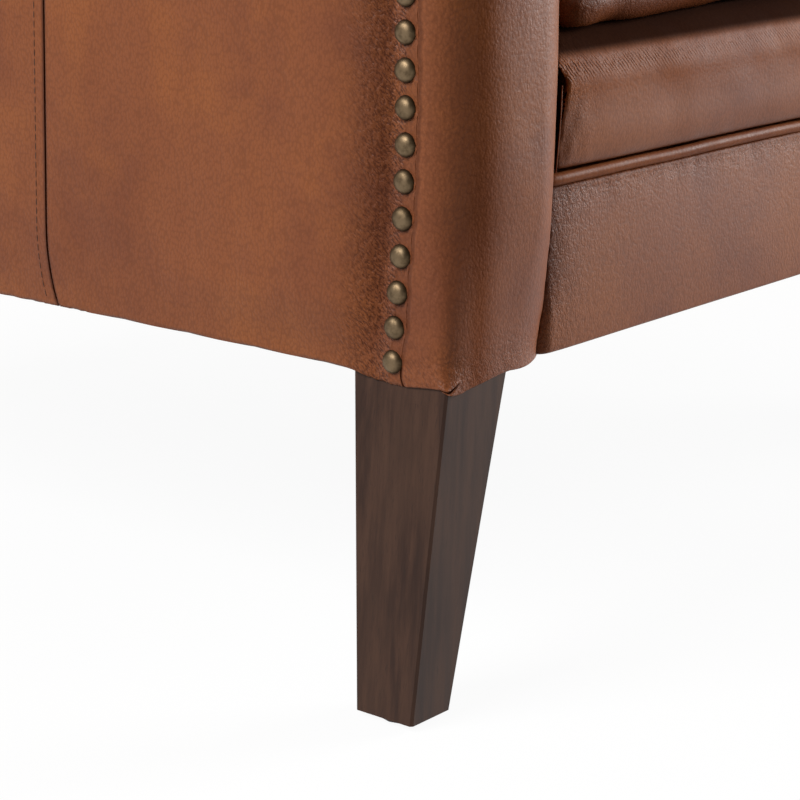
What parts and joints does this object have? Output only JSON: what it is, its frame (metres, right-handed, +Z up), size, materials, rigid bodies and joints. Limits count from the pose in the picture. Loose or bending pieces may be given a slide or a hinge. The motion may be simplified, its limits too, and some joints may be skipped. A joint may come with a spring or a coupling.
{
  "type": "wingback armchair",
  "caption": "Leather wingback armchair on splayed tapered wooden legs, with a sprung seat, a loose cushion, padded arms and wings, and domed nail trim along its sides.",
  "frame": {"origin": "on the floor, under the middle of the chair's box", "axes": "+Z up; the sitter faces -Y; +X is the sitter's left, and X = 0 is the plane of symmetry"},
  "size_m": [0.759, 0.812, 1.0402],
  "materials": {
    "leather": "waxed pull-up leather, reddish mid brown, soft sheen",
    "stained_wood": "dark brown stain under satin lacquer, fine grain",
    "frame_timber": "bare hardwood, not seen in use",
    "antique_brass": "antiqued, worn bright on the domes",
    "steel": "drawn wire and plated bolts",
    "felt": "grey needled pad",
    "webbing": "woven strap",
    "dust_cloth": "thin black non-woven cloth",
    "glide_plastic": "dark nylon"
  },
  "bodies": {
    "frame": {"front_leg_right": "stained_wood", "front_leg_left": "stained_wood", "rear_leg_right": "stained_wood", "rear_leg_left": "stained_wood", "front_glide_right": "glide_plastic", "front_glide_left": "glide_plastic", "rear_glide_right": "glide_plastic", "rear_glide_left": "glide_plastic", "front_leg_bolt_right": "steel", "front_leg_bolt_left": "steel", "rear_leg_bolt_right": "steel", "rear_leg_bolt_left": "steel", "front_rail": "frame_timber", "rear_rail": "frame_timber", "side_rail_right": "frame_timber", "side_rail_left": "frame_timber", "front_post_right": "frame_timber", "front_post_left": "frame_timber", "arm_rail_right": "frame_timber", "arm_rail_left": "frame_timber", "back_post_right": "frame_timber", "back_post_left": "frame_timber", "wing_board_right": "frame_timber", "wing_board_left": "frame_timber", "back_top_rail": "frame_timber", "back_lower_rail": "frame_timber", "front_corner_block_right": "frame_timber", "front_corner_block_left": "frame_timber", "rear_corner_block_right": "frame_timber", "rear_corner_block_left": "frame_timber", "seat_spring_unit": "steel", "spring_insulator": "felt", "deck_pad": "felt", "back_webbing": "webbing", "dust_cover": "dust_cloth", "deck_nosing": "leather", "front_welt": "leather", "front_border": "leather", "inside_back_pad": "leather", "outside_back_panel": "leather", "arm_front_pad_right": "leather", "arm_front_pad_left": "leather", "arm_top_pad_right": "leather", "arm_top_pad_left": "leather", "inside_arm_pad_right": "leather", "inside_arm_pad_left": "leather", "wing_edge_pad_right": "leather", "wing_edge_pad_left": "leather", "inside_wing_pad_right": "leather", "inside_wing_pad_left": "leather", "outside_arm_front_panel_right": "leather", "outside_arm_front_panel_left": "leather", "outside_arm_rear_panel_right": "leather", "outside_arm_rear_panel_left": "leather", "outside_wing_panel_right": "leather", "outside_wing_panel_left": "leather", "nail_trim_right": "antique_brass", "nail_trim_left": "antique_brass"},
    "cushion": {"seat_cushion": "leather"}
  },
  "joints": [
    {"name": "cushion_lift", "type": "slide", "parent": "frame", "child": "cushion", "axis": [0, 0, 1], "range_m": [0, 0.32]}
  ]
}
